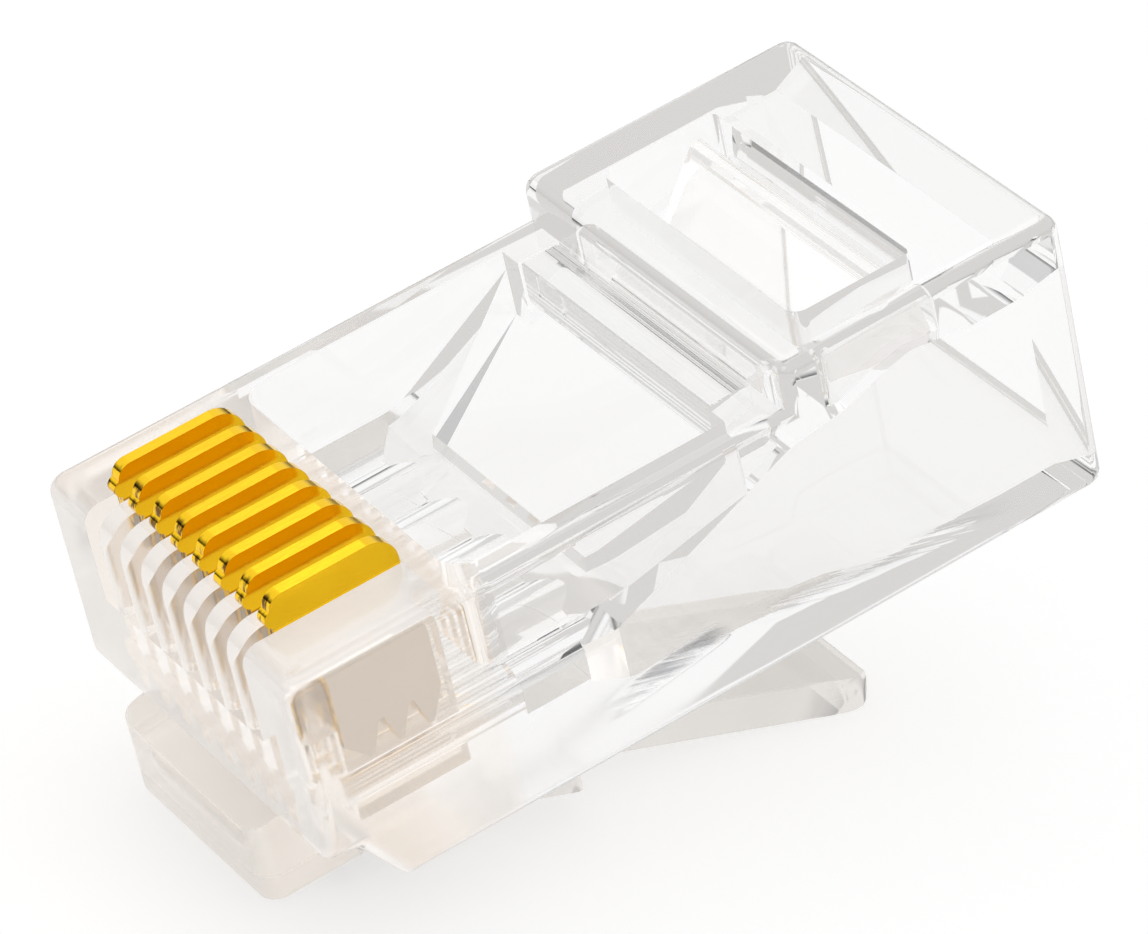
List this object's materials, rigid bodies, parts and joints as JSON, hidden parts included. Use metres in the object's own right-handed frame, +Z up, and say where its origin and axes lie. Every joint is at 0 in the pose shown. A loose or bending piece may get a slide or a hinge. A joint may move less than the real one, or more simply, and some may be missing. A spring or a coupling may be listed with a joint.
{
  "type": "rj45 modular plug",
  "caption": "Clear modular plug for round data cable, uncrimped, with gold-plated blade contacts, cable clamps and a sprung release latch.",
  "frame": {"origin": "middle of the footprint, on the surface the plug rests on, under the middle of its overall length", "axes": "+X from the mating nose towards the cable end, level; +Y across the contacts; +Z up. The plug lies tilted by 17.34 degrees, resting on its latch tip and on the block at the latch's root"},
  "size_m": [0.0236, 0.0116, 0.0156],
  "materials": {
    "clear_plastic": "polished, clear",
    "gold_plate": "polished"
  },
  "bodies": {
    "housing": {"housing": "clear_plastic"},
    "latch": {"latch": "clear_plastic"},
    "jacket_clamp": {"jacket_clamp": "clear_plastic"},
    "conductor_clamp": {"conductor_clamp": "clear_plastic"},
    "contact_1": {"contact_1": "gold_plate"},
    "contact_2": {"contact_2": "gold_plate"},
    "contact_3": {"contact_3": "gold_plate"},
    "contact_4": {"contact_4": "gold_plate"},
    "contact_5": {"contact_5": "gold_plate"},
    "contact_6": {"contact_6": "gold_plate"},
    "contact_7": {"contact_7": "gold_plate"},
    "contact_8": {"contact_8": "gold_plate"}
  },
  "joints": [
    {"name": "latch_press", "type": "hinge", "parent": "housing", "child": "latch", "pos_m": [-0.00749, 0, 0.00121], "axis": [0, -1, 0], "range_deg": [0, 13], "stiffness_Nm_per_rad": 0.1},
    {"name": "jacket_clamp_tip", "type": "hinge", "parent": "housing", "child": "jacket_clamp", "pos_m": [0.00386, 0, 0.01156], "axis": [0, 1, 0], "range_deg": [0, 20]},
    {"name": "conductor_clamp_press", "type": "slide", "parent": "housing", "child": "conductor_clamp", "axis": [0.298, 0, -0.9546], "range_m": [0, 0.0007]},
    {"name": "contact_1_press", "type": "slide", "parent": "housing", "child": "contact_1", "axis": [0.298, 0, -0.9546], "range_m": [0, 0.0011]},
    {"name": "contact_2_press", "type": "slide", "parent": "housing", "child": "contact_2", "axis": [0.298, 0, -0.9546], "range_m": [0, 0.0011]},
    {"name": "contact_3_press", "type": "slide", "parent": "housing", "child": "contact_3", "axis": [0.298, 0, -0.9546], "range_m": [0, 0.0011]},
    {"name": "contact_4_press", "type": "slide", "parent": "housing", "child": "contact_4", "axis": [0.298, 0, -0.9546], "range_m": [0, 0.0011]},
    {"name": "contact_5_press", "type": "slide", "parent": "housing", "child": "contact_5", "axis": [0.298, 0, -0.9546], "range_m": [0, 0.0011]},
    {"name": "contact_6_press", "type": "slide", "parent": "housing", "child": "contact_6", "axis": [0.298, 0, -0.9546], "range_m": [0, 0.0011]},
    {"name": "contact_7_press", "type": "slide", "parent": "housing", "child": "contact_7", "axis": [0.298, 0, -0.9546], "range_m": [0, 0.0011]},
    {"name": "contact_8_press", "type": "slide", "parent": "housing", "child": "contact_8", "axis": [0.298, 0, -0.9546], "range_m": [0, 0.0011]}
  ]
}
